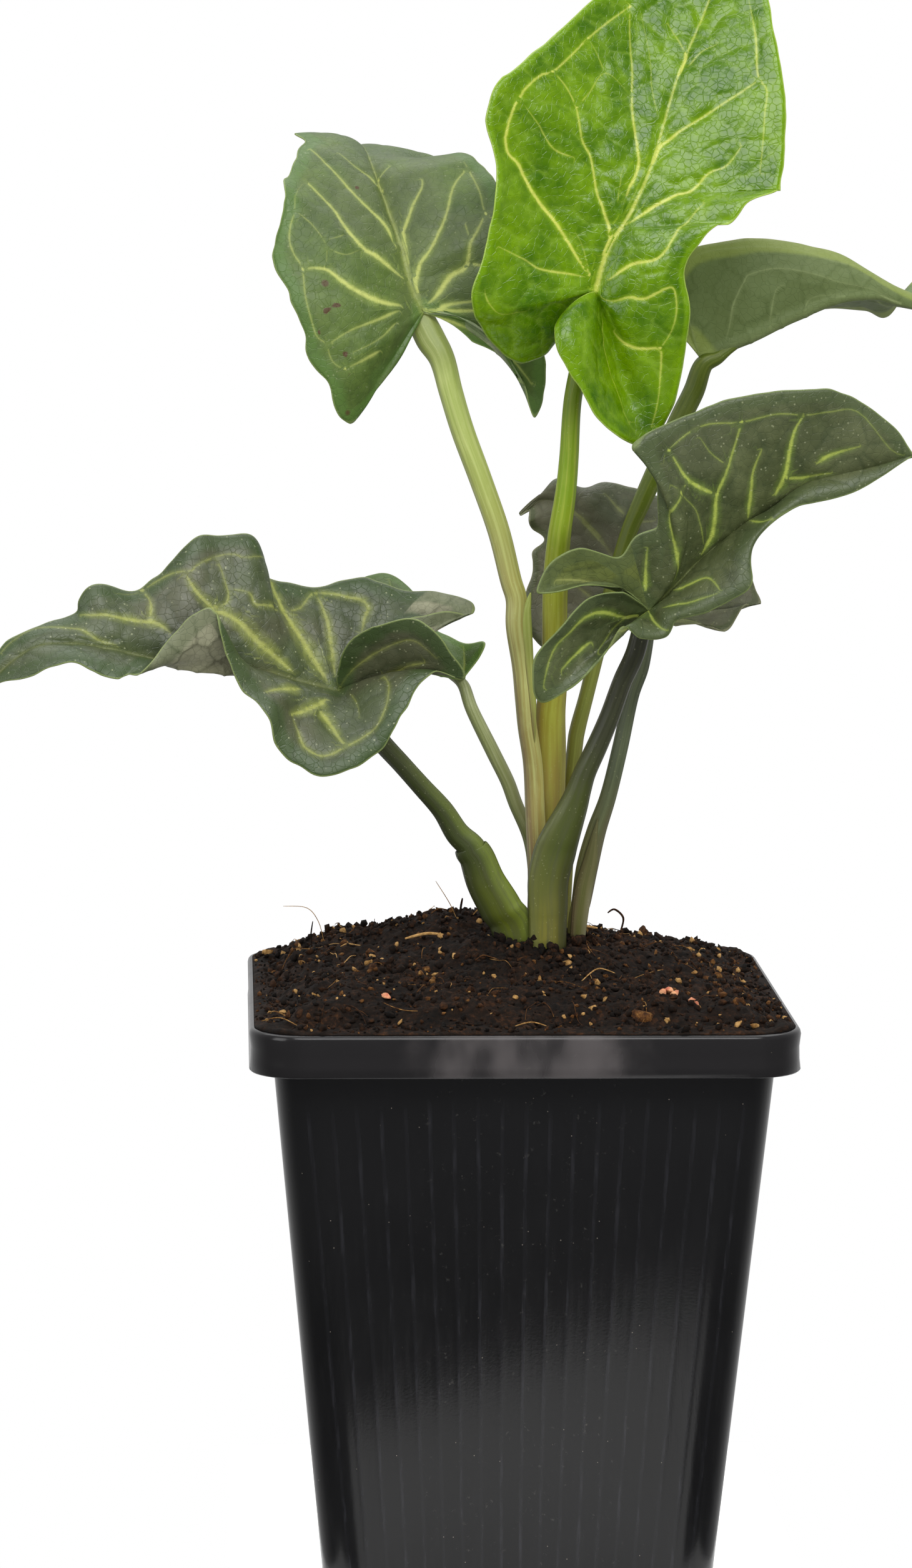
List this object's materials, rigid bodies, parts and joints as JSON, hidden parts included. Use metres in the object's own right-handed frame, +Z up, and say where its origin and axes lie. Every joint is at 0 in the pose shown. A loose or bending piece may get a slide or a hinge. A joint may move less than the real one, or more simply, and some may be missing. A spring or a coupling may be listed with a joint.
{
  "type": "potted arum",
  "caption": "Young arum with arrow-shaped leaves on long stalks, growing in a square plastic nursery pot of potting soil.",
  "frame": {"origin": "middle of the pot's flat underside, which stands on the surface", "axes": "+Z up, X to the viewer's right, Y away from the viewer; the pot's sides are square to X and Y"},
  "size_m": [0.1658, 0.0953, 0.2782],
  "materials": {
    "pot_plastic": "satin black, moulded, scuffed along the rim",
    "potting_soil": "moist dark peat with fibres, bark and light crumbs",
    "tuber_skin": "dull brown skin",
    "young_leaf": "glossy fresh green with pale yellow veins",
    "upper_left_leaf": "satin grey-green with pale veins",
    "left_leaf": "satin grey-green, broad yellow-green veins, small pale flecks",
    "left_rear_leaf": "satin green",
    "right_rear_leaf": "satin green above, dull pale grey-green below",
    "right_front_leaf": "satin dark grey-green with yellow-green veins",
    "centre_rear_leaf": "dull grey-green, browned edge"
  },
  "bodies": {
    "root": {"pot": "pot_plastic", "soil": "potting_soil", "tuber": "tuber_skin", "leaf_young": "young_leaf", "leaf_upper_left": "upper_left_leaf", "leaf_left": "left_leaf", "leaf_left_rear": "left_rear_leaf", "leaf_right_rear": "right_rear_leaf", "leaf_right_front": "right_front_leaf", "leaf_centre_rear": "centre_rear_leaf"}
  },
  "joints": []
}
